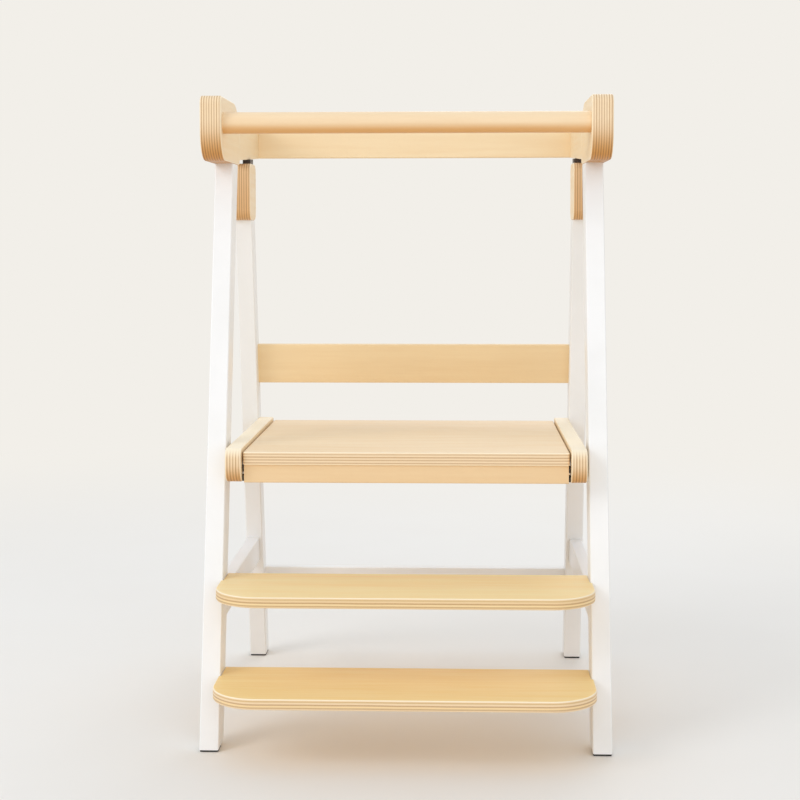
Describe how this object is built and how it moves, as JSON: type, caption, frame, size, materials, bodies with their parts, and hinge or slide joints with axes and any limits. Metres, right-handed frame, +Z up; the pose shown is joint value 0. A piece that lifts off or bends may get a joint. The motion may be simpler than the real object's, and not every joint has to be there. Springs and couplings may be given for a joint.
{
  "type": "toddler learning tower",
  "caption": "Free-standing step tower for a small child: slanted white legs, wooden steps, a platform and a waist-high guard ring with a round hand bar.",
  "frame": {"origin": "on the floor, midway across the width and midway along the overall depth", "axes": "+Z up; +X to the right seen from the steps; -Y towards the side with the steps"},
  "size_m": [0.571, 0.628, 0.9],
  "materials": {
    "white_lacquer": "satin white lacquer",
    "upright_plywood": "clear satin lacquer",
    "flat_plywood": "clear satin lacquer",
    "rail_wood": "clear satin lacquer",
    "bar_wood": "clear satin lacquer",
    "dowel_wood": "raw",
    "black_rubber": "matte",
    "zinc_steel": "zinc plated",
    "white_nylon": "matte",
    "black_nylon": "matte"
  },
  "bodies": {
    "root": {"barrel_nuts": "zinc_steel", "bracket_spacers": "white_nylon", "hand_bar": "bar_wood", "left_front_foot_pad": "black_rubber", "left_front_head_plate": "upright_plywood", "left_front_leg": "white_lacquer", "left_platform_bracket": "upright_plywood", "left_rear_foot_pad": "black_rubber", "left_rear_head_block": "upright_plywood", "left_rear_leg": "white_lacquer", "left_side_arm": "upright_plywood", "left_side_rail": "white_lacquer", "long_bolts": "zinc_steel", "lower_rear_rail": "white_lacquer", "lower_step": "flat_plywood", "middle_rear_rail": "rail_wood", "platform_apron": "rail_wood", "platform_board": "flat_plywood", "platform_rear_bearer": "rail_wood", "platform_screws": "zinc_steel", "platform_washers": "black_nylon", "right_front_foot_pad": "black_rubber", "right_front_head_plate": "upright_plywood", "right_front_leg": "white_lacquer", "right_platform_bracket": "upright_plywood", "right_rear_foot_pad": "black_rubber", "right_rear_head_block": "upright_plywood", "right_rear_leg": "white_lacquer", "right_side_arm": "upright_plywood", "right_side_rail": "white_lacquer", "short_bolts": "zinc_steel", "threaded_inserts": "zinc_steel", "top_rear_rail": "rail_wood", "upper_step": "flat_plywood", "wooden_dowels": "dowel_wood", "wooden_pins": "dowel_wood"}
  },
  "joints": []
}
